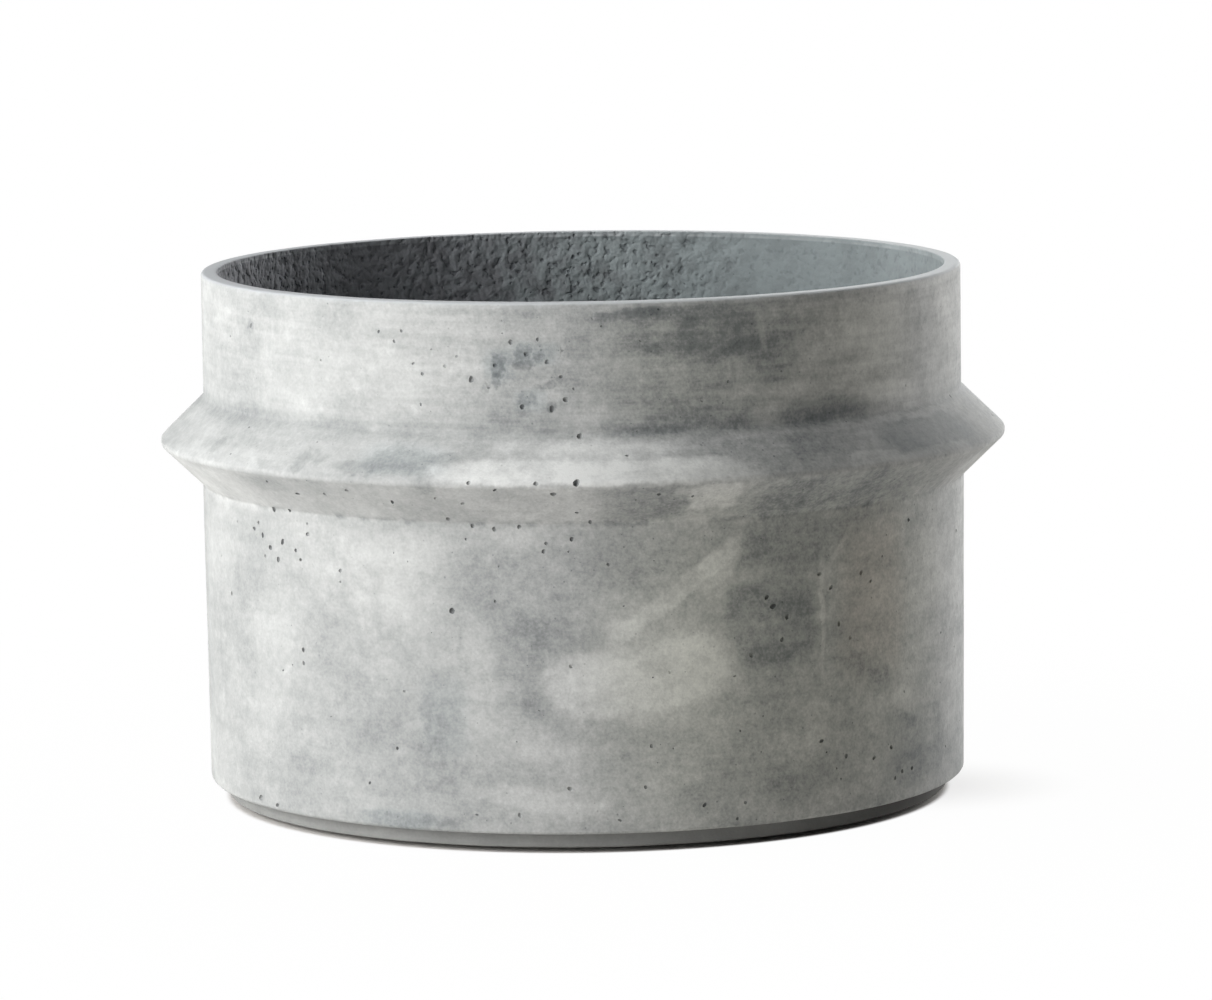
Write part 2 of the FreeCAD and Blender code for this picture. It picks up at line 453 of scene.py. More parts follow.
lower_wall_stains_and_painted_light = [
    (28, 103, 23, 19, 0, 0.35, -0.13), (27, 84, 12, 8, 0, 0.6, -0.06), (30, 136, 22, 12, 0, 0.6, -0.09),
    (23, 125, 8, 4, 0, 0.8, 0.04), (36.6, 102, 1.4, 25, 2, 0.9, 0.15), (40, 134, 13, 1.4, 48, 0.9, 0.09),
    (36, 53, 7, 11, 0, 0.8, 0.10), (13.8, 120, 35, 4.5, 35, 0.6, 0.12), (20, 131, 14, 6, 45, 0.8, 0.17),
    (6, 103, 9, 5, 10, 0.8, 0.08), (7.5, 80, 44, 15, 6, 0.35, 0.12), (17.5, 88, 14, 13, 10, 0.8, 0.12),
    (-70, 125, 30, 22, 0, 0.9, 0.05), (3, 130, 45, 20, 0, 0.9, 0.04), (27, 128, 20, 20, 0, 0.8, -0.06),
    (72, 125, 30, 24, 0, 0.9, 0.10), (12, 85, 34, 22, 0, 0.8, 0.06), (-30, 85, 50, 22, 0, 0.9, -0.03),
    (66, 85, 45, 25, 0, 0.9, 0.05), (-25, 40, 40, 24, 0, 0.9, -0.04), (70, 40, 30, 26, 0, 0.9, 0.08),
    (-1, 80, 16, 9, 0, 0.7, 0.05), (-9.5, 85, 11, 25, 0, 0.6, -0.07), (-6, 65, 12, 6, -30, 0.8, -0.07),
    (-8, 122, 32, 20, -8, 0.8, -0.06), (9, 130, 26, 14, 0, 0.9, -0.05), (-27, 138, 32, 8, 0, 0.9, 0.08),
    (-24, 116, 18, 14, 0, 0.9, 0.07), (-15.5, 98, 6, 14, 12, 0.8, 0.08), (-52, 92, 24, 11, 0, 0.9, 0.05),
    (-61, 105, 10, 42, 0, 0.6, -0.03), (-21, 66, 10, 16, 0, 0.5, -0.09), (-22, 38, 11, 12, 0, 0.7, -0.05),
    (-27, 13, 26, 4, 0, 0.9, -0.12), (-45, 34, 14, 5, 0, 0.8, -0.06), (-38, 60, 70, 45, 0, 0.9, -0.03),
    (60, 34, 25, 17, 0, 0.25, -0.13), (51, 45, 4, 7, 0, 0.6, -0.10), (48, 68, 8, 7, 0, 0.8, -0.06),
    (-7.5, 25.5, 31, 5, -10, 0.8, 0.11), (-8, 53, 30, 9, -35, 0.9, 0.05), (63, 119, 27, 19, 0, 0.9, 0.08),
    (60, 81, 22, 6, 0, 0.8, 0.06), (55.5, 56, 13, 5, -25, 0.7, 0.12), (35, 16, 36, 4, 0, 0.9, 0.06),
]
back_wall_stains = [
    (110, 110, 50, 30, 10, 0.8, 0.08), (140, 60, 40, 25, -12, 0.7, -0.10), (158, 130, 30, 14, 0, 0.6, -0.08),
    (-154, 85, 46, 24, 8, 0.8, 0.09), (-135, 45, 26, 18, 0, 0.85, -0.11), (-110, 118, 34, 18, 20, 0.8, 0.07),
    (125, 230, 40, 12, 0, 0.7, -0.10), (152, 215, 44, 16, 0, 0.9, 0.07), (-140, 232, 30, 12, 0, 0.7, -0.09),
    (-110, 200, 34, 6, 0, 0.7, -0.10), (150, 180, 60, 6, 0, 0.6, -0.11), (-148, 176, 66, 5, 0, 0.6, 0.12),
    (-125, 161, 40, 8, 0, 0.7, -0.07), (115, 162, 26, 8, 0, 0.6, 0.10), (-90, 30, 34, 12, 0, 0.8, 0.07),
]
wall_spots = [
    (-12, 222.5, 3.6, 5, 10, 0.75, -0.18), (-12.2, 216, 2.4, 3.4, 0, 0.75, -0.15),
    (-8.4, 229, 3.2, 3.4, 0, 0.75, -0.16), (-8.2, 223, 4.2, 2, 12, 0.8, -0.14),
    (-6.2, 227.5, 2.2, 3.2, 0, 0.8, -0.14), (-8, 207, 4.6, 4, 20, 0.8, -0.15),
    (-4.6, 203, 2.8, 2, 0, 0.8, -0.15), (-4.6, 213.5, 3.8, 1.7, 20, 0.8, -0.12),
    (-6.4, 212, 2.5, 2, 0, 0.8, -0.10), (-12, 241, 5, 3, 0, 0.7, -0.07),
    (-57.9, 233.5, 3, 3.4, 0, 0.7, -0.09), (-25.7, 179.5, 15, 5.5, 0, 0.75, -0.15),
    (-32, 175.7, 11, 2.6, 0, 0.8, -0.11), (-19.3, 181.4, 6.5, 3.2, 0, 0.8, -0.12),
    (-21, 170.5, 5, 5, 0, 0.8, -0.12), (-41, 177, 3.6, 4, 0, 0.8, -0.11),
    (-38.6, 178.6, 4.4, 2.6, 0, 0.8, -0.10), (-60.7, 178.6, 4, 3.2, 0, 0.8, -0.09),
    (-47, 174.5, 6, 1.8, 0, 0.8, -0.09), (-16, 216, 1.8, 2.2, 0, 0.8, -0.08),
    (-13.8, 212, 1.8, 2, 0, 0.8, -0.08), (130, 215, 9, 6, 0, 0.8, -0.12), (-150, 180, 12, 4, 0, 0.8, -0.11),
]
olive_stains_and_painted_light = [
    # The first entry is painted light: the warm tint of the fill light on the right of the front.
    (33, 85, 86, 76, 0, 0.9, 1.0), (30, 222, 80, 27, 0, 0.7, 0.6), (140, 120, 60, 90, 0, 0.9, 0.6),
]
pink_stains = [
    (47, 109, 21, 36, 0, 0.9, 1.0), (-120, 70, 30, 40, 0, 0.9, 0.7),
]
teal_stains = [
    (-12, 222, 6, 7, 20, 0.8, 1.0), (-7, 228, 11, 5, 0, 0.8, 1.0), (-7.6, 206, 7, 5, 0, 0.8, 1.0),
    (-25, 180, 20, 6, 0, 0.8, 0.8), (-21, 63, 11, 17, 0, 0.9, 0.5), (-28.5, 14, 19, 4, 0, 0.7, 0.8),
    (57, 181, 37, 7, 0, 0.6, 0.4), (130, 215, 18, 9, 0, 0.8, 0.8),
]


def stain_sum(tree, sheet, stains, group):
    """The tone of all the stains of a list, one laid over the other."""
    # So large in the third value that the tone carried there has no part in a stain's outline.
    beyond_tone = 1000
    for angle, height, half_width, half_height, turn, softness, tone in stains:
        sheet = add_node(tree, "ShaderNodeGroup", {
            "Sheet": sheet,
            "Centre": (math.radians(angle) * body_radius, height * MM, 0),
            "Half size": (half_width * MM, half_height * MM, beyond_tone),
            "Turn": (0, 0, math.radians(turn)),
            "Softness": softness,
            "Tone": tone,
        }, node_tree=group).outputs[0]
    return coordinates(tree, sheet)["Z"]


def around_zero(tree, texture, strength):
    """A noise value as a tone above and below 0."""
    return multiply(tree, calculate(tree, "SUBTRACT", texture, 0.5), strength)


def wall_sheet(tree, place):
    """The wall unrolled: arc length from the front, and height."""
    x, y, height = coordinates(tree, place)
    angle = calculate(tree, "ARCTAN2", x, multiply(tree, y, -1.0))
    arc = multiply(tree, angle, body_radius)
    return add_node(tree, "ShaderNodeCombineXYZ", {0: arc, 1: height}).outputs[0]


def fray(tree, place, sheet, grain, along, up):
    """The unrolled wall, warped by noise of one grain, so that the edges of stains on it are ragged."""
    warp = noise_texture(tree, place, grain, detail=3)["Color"]
    wander = calculate_vector(tree, "SUBTRACT", warp, (0.5, 0.5, 0.5))
    return calculate_vector(tree, "ADD", sheet, calculate_vector(tree, "MULTIPLY", wander, (along, up, 0)))


def mix_colour(tree, share, first, second, blend="MIX"):
    """The first colour, changed towards the second by a share, or tinted by it."""
    inputs = {0: share, 6: first, 7: second}
    return add_node(tree, "ShaderNodeMix", inputs, data_type="RGBA", blend_type=blend).outputs[2]


def root_painted_shade(tree, place, height):
    """Painted shade where the flange meets the wall: a soft band on its upper face, a thin broken line below
    it.
    """
    break_grain = 9 * MM
    band_reach = 7 * MM
    band_middle = 1 * MM
    band_tone = -0.09
    line_reach = 2.5 * MM
    line_tone = -0.13
    breaks = noise(tree, place, break_grain, detail=3, seed=9.0)
    from_upper = calculate(tree, "ABSOLUTE", calculate(tree, "SUBTRACT", height, over_flange_height))
    from_lower = calculate(tree, "ABSOLUTE", calculate(tree, "SUBTRACT", height, under_flange_height))
    band = fade(tree, from_upper, band_reach, band_middle, high=band_tone)
    line = fade(tree, from_lower, line_reach, 0.0, high=line_tone)
    broken_line = multiply(tree, line, fade(tree, breaks, start=0.45, end=0.60))
    return add(tree, band, broken_line)


def fine_pore_shade(tree, place):
    """Dark dots as painted shade of air pores too small to cut, each of its own size."""
    cell = 4.5 * MM
    largest_pore = 0.15
    pore_middle = 0.5
    pore_shade_tone = -0.15
    dots = add_node(tree, "ShaderNodeTexVoronoi", {"Vector": place, "Scale": 1 / cell}).outputs
    chance = add_node(tree, "ShaderNodeSeparateColor", {0: dots["Color"]}).outputs["Red"]
    size = multiply(tree, chance, largest_pore)
    middle = multiply(tree, size, pore_middle)
    return fade(tree, dots["Distance"], size, middle, high=pore_shade_tone)


def skin_tone(tree, place, ragged, stain, spot):
    """How light the cement skin is, about 0: stains with painted light and shade among them, clouds of every
    size, strokes, haze, pores as painted shade, and painted shade at the flange's roots.
    """
    smear_stretch = (0.55, 0.55, 1.0)
    stroke_stretch = (0.08, 0.08, 1.0)
    across, _, height = coordinates(tree, place)
    every_stain_and_painted_light = upper_wall_stains_and_painted_light + flange_stains_and_painted_light + lower_wall_stains_and_painted_light + back_wall_stains
    # The stain tables hold painted light and shade among the stains.
    stains = stain_sum(tree, ragged, every_stain_and_painted_light, stain)
    frayed = fray(tree, place, ragged, grain=2.2 * MM, along=5 * MM, up=5 * MM)
    spots = stain_sum(tree, frayed, wall_spots, spot)
    patch_noise = noise(tree, place, grain=9 * MM, detail=5, roughness=0.6, seed=13.0)
    patches = fade(tree, patch_noise, start=0.3, end=0.7, low=0.75, high=1.25)
    smears = calculate_vector(tree, "MULTIPLY", place, smear_stretch)
    strokes = calculate_vector(tree, "MULTIPLY", place, stroke_stretch)
    broad_clouds = around_zero(tree, noise(tree, place, grain=45 * MM, detail=3, seed=1.0), strength=0.30)
    stroke_tone = around_zero(tree, noise(tree, strokes, grain=3.2 * MM, detail=3, seed=5.0), strength=0.22)
    stroke_share = fade(tree, height, start=150 * MM, end=195 * MM, low=0.6, high=1.4)
    clouds = add(
        tree,
        around_zero(tree, noise(tree, smears, grain=13 * MM, detail=4, seed=2.0), strength=0.30),
        around_zero(tree, noise(tree, place, grain=4 * MM, detail=3, seed=3.0), strength=0.30),
        around_zero(tree, noise(tree, place, grain=1.3 * MM, detail=2, seed=4.0), strength=0.27),
        multiply(tree, stroke_tone, stroke_share),
        fine_pore_shade(tree, place),
    )
    haze_noise = noise(tree, place, grain=18 * MM, detail=5, roughness=0.6, seed=10.0)
    haze = fade(tree, haze_noise, start=0.55, end=0.70, high=0.08)
    mottling = fade(tree, across, start=-150 * MM, end=140 * MM, low=0.7, high=1.5)
    side_noise = noise(tree, place, grain=22 * MM, detail=4, roughness=0.6, seed=16.0)
    side_share = fade(tree, across, start=60 * MM, end=120 * MM)
    side_clouds = multiply(tree, around_zero(tree, side_noise, strength=0.25), side_share)
    return add(
        tree,
        multiply(tree, stains, patches),
        spots,
        broad_clouds,
        side_clouds,
        haze,
        root_painted_shade(tree, place, height),
        multiply(tree, clouds, mottling),
    )


def skin_colour(tree, tone):
    """The grey of the cement skin for a tone about 0."""
    shades = [
        (0.0, (0.075, 0.084, 0.090, 1)),
        (0.25, (0.203, 0.216, 0.219, 1)),
        (0.5, (0.419, 0.430, 0.425, 1)),
        (0.75, (0.631, 0.642, 0.632, 1)),
        (1.0, (0.808, 0.820, 0.804, 1)),
    ]
    ramp = add_node(tree, "ShaderNodeValToRGB", {"Fac": add(tree, 0.5, tone)})
    elements = ramp.color_ramp.elements
    while len(elements) < len(shades):
        elements.new(0.5)
    for element, (position, colour) in zip(elements, shades):
        element.position = position
        element.color = colour
    return ramp.outputs["Color"]


def core_pits(tree, place, lumps):
    """Pits of the rough inside: round holes of mixed size, and the hollows between the lumps."""
    cell = 6.5 * MM
    largest_pit = 0.40
    pit_middle = 0.2
    bend = 2 * MM
    bend_grain = 2 * MM
    crowd_grain = 22 * MM
    warp = scaled(tree, noise_texture(tree, place, bend_grain)["Color"], bend)
    bent_place = calculate_vector(tree, "ADD", place, warp)
    holes = add_node(tree, "ShaderNodeTexVoronoi", {"Vector": bent_place, "Scale": 1 / cell}).outputs
    chance = add_node(tree, "ShaderNodeSeparateColor", {0: holes["Color"]}).outputs["Green"]
    crowds = noise(tree, place, crowd_grain, detail=2, seed=15.0)
    crowding = fade(tree, crowds, start=0.40, end=0.60, low=0.3)
    size = multiply(tree, chance, crowding, largest_pit)
    round_pits = fade(tree, holes["Distance"], size, multiply(tree, size, pit_middle))
    hollows = fade(tree, lumps, start=0.44, end=0.30, high=0.6)
    return calculate(tree, "MAXIMUM", round_pits, hollows)


def core_colour(tree, place, pits):
    """Rough mortar inside: darker on the left and a paler cool grey on the right, partly painted shade and
    light, darker in pits as painted shade.
    """
    # The left is drawn darker and the right paler, partly as painted shade and light.
    darker_shade = (0.267, 0.273, 0.291, 1)
    paler_shade = (0.308, 0.346, 0.352, 1)
    blotch_tint = (0.76, 0.75, 0.75, 1)
    stripe_tint = (0.84, 0.85, 0.85, 1)
    pit_shade_tint = (0.38, 0.38, 0.40, 1)
    across = coordinates(tree, place)["X"]
    blotches = noise(tree, place, grain=9 * MM, detail=5, roughness=0.65, seed=6.0)
    edge = add(tree, across, around_zero(tree, blotches, strength=120 * MM))
    ground = mix_colour(tree, fade(tree, edge, start=-90 * MM, end=30 * MM), darker_shade, paler_shade)
    stripe_left = fade(tree, across, start=10 * MM, end=60 * MM)
    stripe_right = fade(tree, across, start=158 * MM, end=135 * MM)
    stripe = multiply(tree, stripe_left, stripe_right)
    ground = mix_colour(tree, stripe, ground, stripe_tint, blend="MULTIPLY")
    blotch_share = fade(tree, across, start=40 * MM, end=100 * MM, low=1.0, high=0.4)
    blotch = multiply(tree, fade(tree, blotches, start=0.56, end=0.40), blotch_share)
    blotched = mix_colour(tree, blotch, ground, blotch_tint, blend="MULTIPLY")
    # Painted shade in the pits and in the hollows between the lumps.
    return mix_colour(tree, pits, blotched, pit_shade_tint, blend="MULTIPLY")


def rim_cover(tree, place, radius, height):
    """Where the top of the rim is rubbed down to pale stone, its paleness partly painted light: between its
    eased edges, with chips.
    """
    edge_width = 0.8 * MM
    chip_reach = 0.6 * MM
    cover_start = rim_height - 3 * MM
    cover_full = rim_height - 2 * MM
    most_cover = 0.9
    chips = around_zero(tree, noise(tree, place, grain=4 * MM, detail=3, seed=12.0), chip_reach)
    ragged_radius = add(tree, radius, chips)
    outer_side = fade(tree, ragged_radius, body_radius, body_radius - edge_width)
    inner_side = fade(tree, radius, inner_radius, inner_radius + edge_width)
    top = fade(tree, height, cover_start, cover_full, high=most_cover)
    return multiply(tree, outer_side, inner_side, top)


def wall_concrete():
    """Cast concrete: clouded grey skin outside with painted light and shade among its stains, dark rough
    mortar inside partly painted shade, pale rubbed rim with painted light, pinholes darkened as painted
    shade.
    """
    olive_tint = (1.0, 1.0, 0.93, 1)
    pink_tint = (1.0, 0.955, 0.93, 1)
    teal_tint = (0.955, 0.985, 1.0, 1)
    rim_shade_in_shadow = (0.54, 0.56, 0.58, 1)
    rim_shade_in_light = (0.82, 0.85, 0.86, 1)
    pinhole_shade_tint = (0.42, 0.43, 0.44, 1)
    middle_roughness = 0.82
    tone_roughness = 0.5
    most_roughness = 0.95
    pit_depth = 0.5
    core_start = inner_radius + 2.5 * MM
    core_full = inner_radius + 1 * MM
    material, tree, shader, place = material_tree("wall_concrete")
    across, _, height = coordinates(tree, place)
    sheet = wall_sheet(tree, place)
    wavy = fray(tree, place, sheet, grain=24 * MM, along=10 * MM, up=6 * MM)
    ragged = fray(tree, place, wavy, grain=5 * MM, along=5 * MM, up=3.5 * MM)
    stain = stain_group("Stain", rounded=False)
    spot = stain_group("Spot", rounded=True)
    tone = skin_tone(tree, place, ragged, stain, spot)
    shade = skin_colour(tree, tone)
    for stains, tint in ((olive_stains_and_painted_light, olive_tint), (pink_stains, pink_tint), (teal_stains, teal_tint)):
        shade = mix_colour(tree, stain_sum(tree, ragged, stains, stain), shade, tint, blend="MULTIPLY")

    radius = radius_of(tree, place)
    core = fade(tree, radius, core_start, core_full)
    rough_share = core_roughness(tree, across)
    lumps = noise(tree, place, grain=3.2 * MM, detail=1, roughness=0.4, seed=8.0)
    pits = multiply(tree, core_pits(tree, place, lumps), rough_share)
    relief = calculate(tree, "SUBTRACT", lumps, multiply(tree, pits, pit_depth))
    shade = mix_colour(tree, core, shade, core_colour(tree, place, pits))
    # Painted light: the rim's top drawn paler towards the right, where light from the back right catches it.
    painted_rim_light = fade(tree, across, -body_radius, body_radius)
    rim_shade = mix_colour(tree, painted_rim_light, rim_shade_in_shadow, rim_shade_in_light)
    shade = mix_colour(tree, rim_cover(tree, place, radius, height), shade, rim_shade)
    # Painted shade inside the pinholes, over the shade that the cut holes get themselves.
    pinhole = add_node(tree, "ShaderNodeAttribute", {}, attribute_name="pinhole").outputs["Fac"]
    shade = mix_colour(tree, pinhole, shade, pinhole_shade_tint, blend="MULTIPLY")
    tree.links.new(shade, shader.inputs["Base Color"])

    roughness = add(tree, middle_roughness, multiply(tree, tone, tone_roughness))
    tree.links.new(calculate(tree, "MINIMUM", roughness, most_roughness), shader.inputs["Roughness"])
    shader.inputs["Specular IOR Level"].default_value = 0.35
    fine = noise(tree, place, grain=0.9 * MM, detail=3, roughness=0.6, seed=7.0)
    skin_relief = add_relief(tree, shader, fine, strength=0.5, depth=0.25 * MM)
    core_relief = add_node(tree, "ShaderNodeBump", {
        "Strength": multiply(tree, core, rough_share),
        "Distance": 1.4 * MM,
        "Height": relief,
        "Normal": skin_relief,
    }).outputs[0]
    tree.links.new(core_relief, shader.inputs["Normal"])
    return material


# Pinholes of the wall: angle from the front in degrees, height and width in millimetres.
upper_pinholes = [
    (-34.3, 227, 1.5), (-30.5, 236, 1.6), (-24.9, 222.5, 1.6), (-23.6, 218, 1.5), (-16.1, 216, 1.7),
    (-13.6, 212.5, 2.0), (-12.4, 222.5, 1.6), (-8.0, 227.5, 1.8), (-8.6, 203.8, 2.0), (-4.5, 203, 2.2),
    (-3.0, 217.5, 1.4), (-0.5, 190.8, 2.4), (-57.6, 233.8, 1.8), (-41.1, 221.3, 1.5), (-28.0, 232, 1.2),
    (-26.8, 237, 1.3), (-22.0, 229, 1.2), (-20.0, 222, 1.2), (-18.2, 226, 1.3), (-10.2, 233, 1.5),
    (-6.2, 234, 1.4), (-5.0, 224, 1.6), (-2.8, 229, 1.4), (-1.2, 212, 1.8), (-2.4, 207, 1.9),
]
flange_pinholes = [
    (-0.9, 172.5, 3.4), (-4.0, 166.8, 2.0), (-6.1, 172, 1.8), (-14.9, 172, 1.8), (-11.5, 168.8, 1.8),
    (-16.5, 161.3, 2.0), (-26.8, 160.8, 2.0), (-20.1, 163.8, 1.8), (-37.4, 162.5, 2.2), (-33.0, 165.5, 1.8),
    (-42.8, 161.3, 2.2), (9.8, 165.5, 1.8), (14.5, 163.8, 1.6),
]
lower_pinholes = [
    (-19.5, 153, 2.2), (-19.0, 150, 1.8), (-16.1, 150, 1.8), (-13.0, 148.8, 1.8), (-9.3, 150, 2.0),
    (0.8, 152, 2.2), (-1.8, 144.3, 1.8), (-5.5, 142.5, 1.8), (-5.9, 138.8, 1.6), (3.3, 132.5, 1.6),
    (-57.4, 140, 2.6), (-56.1, 143, 2.2), (-58.0, 136.3, 2.4), (-53.0, 132.5, 2.2), (-51.1, 127.5, 2.2),
    (-55.0, 137.5, 2.0), (-50.0, 136, 2.4), (-47.0, 133, 1.8), (-46.0, 129, 2.2), (-54.5, 128, 1.8),
    (-48.0, 151.3, 2.2), (-51.8, 150.5, 2.0), (-44.3, 141.3, 2.2), (-38.0, 126.3, 1.8), (-19.5, 111.3, 2.6),
    (27.0, 113.8, 2.2), (28.0, 109.3, 2.2), (30.5, 103.8, 2.2), (29.5, 93.8, 2.0), (24.5, 88, 2.2),
    (36.1, 122, 1.8), (38.3, 115, 1.8), (44.3, 120, 1.8), (46.4, 115.5, 1.8), (39.8, 98, 2.0),
    (42.0, 90.8, 2.0), (12.0, 83, 1.4), (-45.9, 87.5, 2.0), (-45.9, 81.3, 2.0), (-2.6, 30.8, 2.0),
    (36.4, 45, 2.0), (47.0, 33, 2.2), (41.1, 36.3, 1.8), (53.9, 23.8, 2.2), (56.6, 23.8, 2.0),
    (52.0, 21.3, 1.8), (-57.6, 13.8, 3.0), (-53.0, 12.5, 2.2), (-9.9, 18.8, 1.8), (22.0, 13.8, 2.0),
    (17.0, 21.3, 1.8), (23.3, 20.8, 1.8), (8.3, 30.8, 1.6), (75.1, 127, 1.8), (55.8, 140, 1.8),
]
# Small ones are scattered between them by chance. A spread widens every hole, and those above the flange
# are lifted outwards by a share of their width, so that they stay shallow.
pinhole_spread = 1.05
scattered_pinholes = 300
narrowest_pinhole = 0.5
widest_pinhole = 1.6
widest_back_pinhole = 3.0
front_view = 80
pinhole_seed = 11
edge_margin = 3
tip_margin = 0.4 * MM
shallow_spread = 1.25
shallow_lift = 0.2


def wall_radius(height):
    """Radius of the wall's outside at a height, both in metres."""
    if height > over_flange_height:
        return body_radius
    if height > flange_height:
        return body_radius + (over_flange_height - height) / math.tan(flange_slope)
    if height > under_flange_height:
        return under_flange_radius + (height - under_flange_height) / math.tan(flange_slope)
    return body_radius + lower_wall_swell * (height - wall_foot) / (under_flange_height - wall_foot)


def pinhole_points():
    """An object whose points mark the pinholes, each with its width: the large ones, then many small ones."""
    holes = upper_pinholes + flange_pinholes + lower_pinholes
    chance = random.Random(pinhole_seed)
    for _ in range(scattered_pinholes):
        angle = chance.uniform(-180, 180)
        height = chance.uniform(wall_foot / MM + edge_margin, rim_height / MM - edge_margin)
        widest = widest_back_pinhole if abs(angle) > front_view else widest_pinhole
        width = narrowest_pinhole + (widest - narrowest_pinhole) * chance.random() ** 2
        holes.append((angle, height, width))
    points = []
    widths = []
    for angle, height, listed_width in holes:
        turn = math.radians(angle)
        shallow = height * MM > over_flange_height
        width = listed_width * (shallow_spread if shallow else pinhole_spread) * MM
        lift = shallow_lift * width if shallow else 0.0
        radius = min(wall_radius(height * MM), flange_radius - tip_margin) + lift
        point = Vector((radius * math.sin(turn), -radius * math.cos(turn), height * MM))
        if all((point - other).length > width + near for other, near in zip(points, widths)):
            points.append(point)
            widths.append(width)
    mesh = bpy.data.meshes.new("pinhole_points")
    mesh.from_pydata(points, [], [])
    attribute = mesh.attributes.new("width", "FLOAT", "POINT")
    attribute.data.foreach_set("value", widths)
    marks = bpy.data.objects.new("pinhole_points", mesh)
    bpy.context.scene.collection.objects.link(marks)
    return marks


turned_piece = turning_tree()
concrete = wall_concrete()
wall = section_object("planter_wall_cast", [
    (inner_radius, wall_foot, 0, core_spacing),
    (body_radius, wall_foot, foot_rounding, outer_spacing),
    (under_flange_radius, under_flange_height, flange_root_rounding, outer_spacing),
    (flange_apex, flange_height, flange_tip_rounding, outer_spacing),
    (body_radius, over_flange_height, flange_root_rounding, outer_spacing),
    (body_radius, rim_height, rim_rounding, rim_spacing),
    (inner_radius, rim_height, inner_rim_rounding, rim_spacing),
    (inner_radius, rim_height - core_fine_depth, 0, core_spacing),
    (inner_radius, key_centre + key_height / 2, 0, core_spacing),
    (inner_radius + key_depth, key_centre, 0, core_spacing),
    (inner_radius, key_centre - key_height / 2, 0, core_spacing),
])
pinholes = pinhole_points()
dress(wall, turned_piece, {
    "Segments": wall_segments,
    "Wear": 0.3 * MM,
    "Wear grain": 30 * MM,
    "Core radius": inner_radius + 0.5 * MM,
    "Core top": rim_height,
    "Core wear": 1.0 * MM,
    "Core grain": 6 * MM,
    "Seed": 3.0,
    "Material": concrete,
})
dress(wall, pinhole_tree(), {"Holes": pinholes, "Seed": 5, "Material": concrete})
settle(wall)
bpy.data.objects.remove(pinholes)
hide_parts("planter_wall")
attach(wall, "planter")


# Base slab
# A disc of the same concrete, poured into the standing wall and floated level. A V ridge keys it into the
# wall's groove. Its edge shows below the wall as a recessed foot.
slab_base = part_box("base_slab")[0].z
sleeve_radius = 13 * MM
collar_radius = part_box("drain_sleeve")[1].x
collar_height = 4 * MM
slab_middle = (slab_base + slab_top) / 2
foot_edge_rounding = 1.5 * MM
slab_spacing = 6 * MM
foot_spacing = 2 * MM


def slab_concrete():
    """Floated concrete: faint rings of the float, paler round the drain where water dried, and its edge on
    the right darkened as painted shade.
    """
    dark_cast_shade = (0.11, 0.115, 0.115, 1)
    pale_cast_shade = (0.47, 0.475, 0.46, 1)
    dark_floated_shade = (0.24, 0.245, 0.24, 1)
    pale_floated_shade = (0.74, 0.735, 0.71, 1)
    foot_shade_tint = (0.37, 0.36, 0.35, 1)
    ring_spacing = 3 * MM
    ring_tone = 0.025
    ring_wander = 30 * MM
    floated_start = slab_top - 4 * MM
    floated_full = slab_top - 2 * MM
    material, tree, shader, place = material_tree("slab_concrete")
    across, _, height = coordinates(tree, place)
    radius = radius_of(tree, place)
    wander = multiply(tree, noise(tree, place, ring_wander), ring_wander)
    wavy_radius = add(tree, radius, wander)
    ring = calculate(tree, "SINE", calculate(tree, "DIVIDE", wavy_radius, ring_spacing))
    tone = multiply(tree, ring, ring_tone)
    for grain, strength, seed in ((35 * MM, 0.35, 11.0), (9 * MM, 0.25, 12.0), (1.4 * MM, 0.2, 13.0)):
        texture = noise(tree, place, grain, detail=3, seed=seed)
        tone = add(tree, tone, around_zero(tree, texture, strength))
    tide = fade(tree, wavy_radius, start=75 * MM, end=45 * MM, high=0.12)
    lightness = add(tree, tone, tide, 0.5)
    cast_shade = mix_colour(tree, lightness, dark_cast_shade, pale_cast_shade)
    floated_shade = mix_colour(tree, lightness, dark_floated_shade, pale_floated_shade)
    top = fade(tree, height, floated_start, floated_full)
    shade = mix_colour(tree, top, cast_shade, floated_shade)
    # Painted shade: the foot's edge drawn darker on the right, where it is in shade.
    shaded_side = fade(tree, across, start=80 * MM, end=158 * MM)
    edge = multiply(tree, shaded_side, fade(tree, radius, start=150 * MM, end=170 * MM))
    shade = mix_colour(tree, edge, shade, foot_shade_tint, blend="MULTIPLY")
    tree.links.new(shade, shader.inputs["Base Color"])
    shader.inputs["Roughness"].default_value = 0.88
    shader.inputs["Specular IOR Level"].default_value = 0.3
    grit = noise(tree, place, grain=1.1 * MM, detail=4, roughness=0.65, seed=14.0)
    add_relief(tree, shader, grit, strength=0.6, depth=0.3 * MM)
    return material


slab = section_object("base_slab_poured", [
    (sleeve_radius, slab_top, 0, slab_spacing),
    (sleeve_radius, slab_middle + collar_height / 2, 0, slab_spacing),
    (collar_radius, slab_middle + collar_height / 2, 0, slab_spacing),
    (collar_radius, slab_middle - collar_height / 2, 0, slab_spacing),
    (sleeve_radius, slab_middle - collar_height / 2, 0, slab_spacing),
    (sleeve_radius, slab_base, 0, slab_spacing),
    (inner_radius, slab_base, foot_edge_rounding, foot_spacing),
    (inner_radius, key_centre - key_height / 2, 0, slab_spacing),
    (inner_radius + key_depth, key_centre, 0, slab_spacing),
    (inner_radius, key_centre + key_height / 2, 0, slab_spacing),
    (inner_radius, slab_top, 0, slab_spacing),
])
dress(slab, turned_piece, {
    "Segments": 240,
    "Wear": 0.5 * MM,
    "Wear grain": 18 * MM,
    "Seed": 7.0,
    "Material": slab_concrete(),
})
settle(slab)
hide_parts("base_slab")
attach(slab, "planter")


# Corner seal
# A fillet of fine mortar, pressed into the inner corner with a trowel. It closes the line between wall and
# slab, and keeps the ripples of the trowel.
seal_low, seal_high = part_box("corner_seal")
seal_leg = seal_high.z - seal_low.z
seal_spacing = 3 * MM
seal_face_spacing = 1.6 * MM


